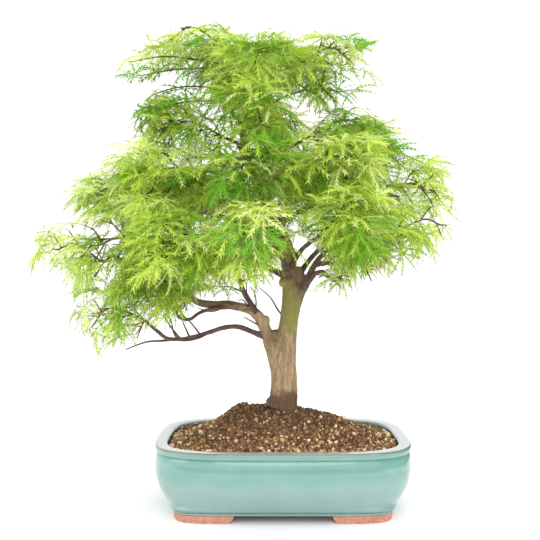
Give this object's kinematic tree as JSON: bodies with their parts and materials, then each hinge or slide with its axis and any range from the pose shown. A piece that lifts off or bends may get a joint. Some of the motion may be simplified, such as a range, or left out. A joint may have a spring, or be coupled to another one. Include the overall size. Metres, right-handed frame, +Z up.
{
  "type": "potted japanese maple bonsai",
  "caption": "Small laceleaf Japanese maple grown as a bonsai: leaning trunk, boughs and pads of foliage, on a mound of soil in a glazed oblong pot with clay feet.",
  "frame": {"origin": "on the surface that the pot stands on, under the middle of the whole plant's box; the pot's centre is 39 mm along +X from it", "axes": "+Z up along the tree, +X along the pot's long side to the viewer's right, -Y towards the viewer of the picture"},
  "size_m": [0.5116, 0.3868, 0.5872],
  "materials": {
    "glaze": "gloss",
    "clay": "matte",
    "soil": "matte",
    "trunk_bark": "matte",
    "bough_bark": "matte",
    "leaves": "satin"
  },
  "bodies": {
    "root": {"pot_body": "glaze", "pot_foot_back_left": "clay", "pot_foot_back_right": "clay", "pot_foot_front_left": "clay", "pot_foot_front_right": "clay", "soil": "soil", "trunk": "trunk_bark", "bough_left_tip": "bough_bark", "bough_left_under": "bough_bark", "bough_left_up": "bough_bark", "bough_low_back": "bough_bark", "bough_low_back_left": "bough_bark", "bough_low_back_right": "bough_bark", "bough_low_front": "bough_bark", "bough_low_front_right": "bough_bark", "bough_low_left": "bough_bark", "bough_mid_back_left": "bough_bark", "bough_mid_back_right": "bough_bark", "bough_mid_front": "bough_bark", "bough_mid_left": "bough_bark", "bough_mid_left_front": "bough_bark", "bough_mid_right": "bough_bark", "bough_mid_right_front": "bough_bark", "bough_right_out": "bough_bark", "bough_right_under": "bough_bark", "bough_top_left": "bough_bark", "bough_top_right": "bough_bark", "bough_upper_back": "bough_bark", "bough_upper_left": "bough_bark", "bough_upper_right": "bough_bark", "limb_left": "bough_bark", "limb_right": "bough_bark", "foliage_left_inner": "leaves", "foliage_left_tip": "leaves", "foliage_low_back": "leaves", "foliage_low_back_left": "leaves", "foliage_low_back_right": "leaves", "foliage_low_front": "leaves", "foliage_low_front_right": "leaves", "foliage_low_left": "leaves", "foliage_low_left_bottom": "leaves", "foliage_low_left_front": "leaves", "foliage_low_right": "leaves", "foliage_mid_back_left": "leaves", "foliage_mid_back_right": "leaves", "foliage_mid_front": "leaves", "foliage_mid_left": "leaves", "foliage_mid_left_front": "leaves", "foliage_mid_right_front": "leaves", "foliage_mid_right_tip": "leaves", "foliage_right_bottom": "leaves", "foliage_right_tip": "leaves", "foliage_top_back": "leaves", "foliage_top_front": "leaves", "foliage_top_left": "leaves", "foliage_top_right": "leaves", "foliage_upper_back": "leaves", "foliage_upper_front": "leaves", "foliage_upper_left": "leaves", "foliage_upper_right": "leaves"}
  },
  "joints": []
}
